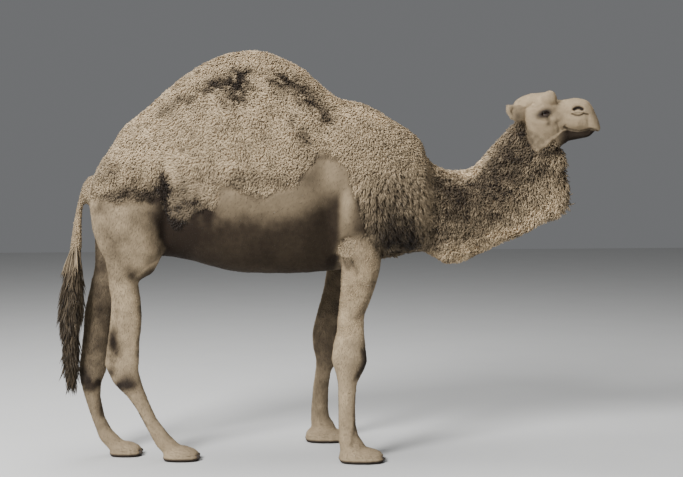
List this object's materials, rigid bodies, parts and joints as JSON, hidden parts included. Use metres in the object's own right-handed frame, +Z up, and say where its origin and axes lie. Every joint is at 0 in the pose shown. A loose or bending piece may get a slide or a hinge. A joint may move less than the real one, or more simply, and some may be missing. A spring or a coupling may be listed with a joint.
{
  "type": "standing dromedary camel",
  "caption": "Adult one-humped camel standing square on four padded feet, head held out on a low curved neck, with a thick half-moulted coat.",
  "frame": {"origin": "on the floor, below the middle of the animal's bounding box", "axes": "+X towards the head, +Y to the animal's left, +Z up from the soles"},
  "size_m": [2.7712, 0.67, 2.1047],
  "materials": {
    "wool": "thick curly sandy wool and long hair, matt",
    "short_coat": "short flat fawn hair over skin, bare dark pads on the joints",
    "eye": "dark brown wet eye with a horizontal pupil",
    "nail": "dull dark horn"
  },
  "bodies": {
    "root": {"head": "short_coat", "lower_jaw": "short_coat", "eye_left": "eye", "eye_right": "eye", "ear_left": "short_coat", "ear_right": "short_coat", "neck_throat": "wool", "neck_middle": "wool", "neck_base": "wool", "hump": "wool", "trunk": "wool", "tail_dock": "short_coat", "tail_tuft": "wool", "foreleg_right_forearm": "wool", "foreleg_right_knee": "short_coat", "foreleg_right_cannon": "short_coat", "foreleg_right_foot": "short_coat", "foreleg_right_nail_inner": "nail", "foreleg_right_nail_outer": "nail", "foreleg_left_forearm": "wool", "foreleg_left_knee": "short_coat", "foreleg_left_cannon": "short_coat", "foreleg_left_foot": "short_coat", "foreleg_left_nail_inner": "nail", "foreleg_left_nail_outer": "nail", "hindleg_right_thigh": "wool", "hindleg_right_gaskin": "short_coat", "hindleg_right_hock": "short_coat", "hindleg_right_cannon": "short_coat", "hindleg_right_foot": "short_coat", "hindleg_right_nail_inner": "nail", "hindleg_right_nail_outer": "nail", "hindleg_left_thigh": "wool", "hindleg_left_gaskin": "short_coat", "hindleg_left_hock": "short_coat", "hindleg_left_cannon": "short_coat", "hindleg_left_foot": "short_coat", "hindleg_left_nail_inner": "nail", "hindleg_left_nail_outer": "nail"}
  },
  "joints": []
}
